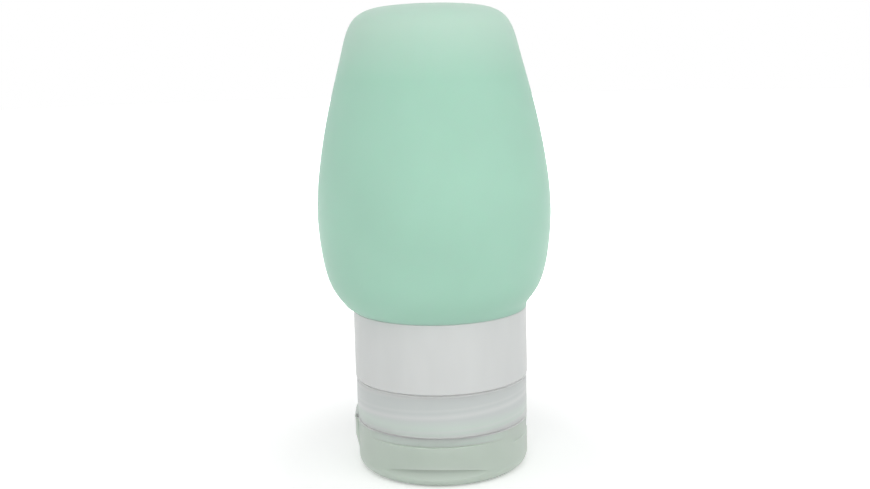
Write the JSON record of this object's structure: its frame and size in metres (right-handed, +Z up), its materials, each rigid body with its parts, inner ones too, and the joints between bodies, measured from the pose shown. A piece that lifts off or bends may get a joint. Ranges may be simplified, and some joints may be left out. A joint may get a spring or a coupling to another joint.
{
  "type": "travel squeeze bottle",
  "caption": "Squeezable silicone travel bottle standing on a frosted screw cap with a flip lid, a white clamp collar and a no-drip valve.",
  "frame": {"origin": "centre of the lid's flat end, on which the bottle stands upside down", "axes": "+Z up through cap, collar and body; -X is the lid's hinge side, +X its thumb ledge, -Y the front"},
  "size_m": [0.0456, 0.0456, 0.0908],
  "materials": {
    "mint_silicone": "matte translucent mint-green silicone",
    "white_plastic": "smooth white moulded polypropylene",
    "frosted_plastic": "frosted see-through polypropylene",
    "clear_silicone": "milky translucent silicone seal"
  },
  "bodies": {
    "bottle": {"squeeze_body": "mint_silicone", "threaded_neck": "white_plastic", "clamp_collar": "white_plastic"},
    "cap_seal": {"neck_gasket": "clear_silicone"},
    "cap": {"cap_base": "frosted_plastic", "no_drip_valve": "clear_silicone", "valve_retainer": "white_plastic", "living_hinge": "frosted_plastic"},
    "lid": {"flip_lid": "frosted_plastic"}
  },
  "joints": [
    {"name": "cap_lift", "type": "slide", "parent": "bottle", "child": "cap_seal", "axis": [0, 0, -1], "range_m": [0, 0.0063]},
    {"name": "cap_turn", "type": "hinge", "parent": "cap_seal", "child": "cap", "pos_m": [0, 0, 0.0145], "axis": [0, 0, -1], "range_deg": [0, 540]},
    {"name": "lid_flip", "type": "hinge", "parent": "cap", "child": "lid", "pos_m": [-0.01725, 0, 0.01], "axis": [0, 1, 0], "range_deg": [0, 130]}
  ],
  "couplings": [
    {"joint": "cap_lift", "follows": "cap_turn", "m_per_rad": 0.00066845}
  ]
}
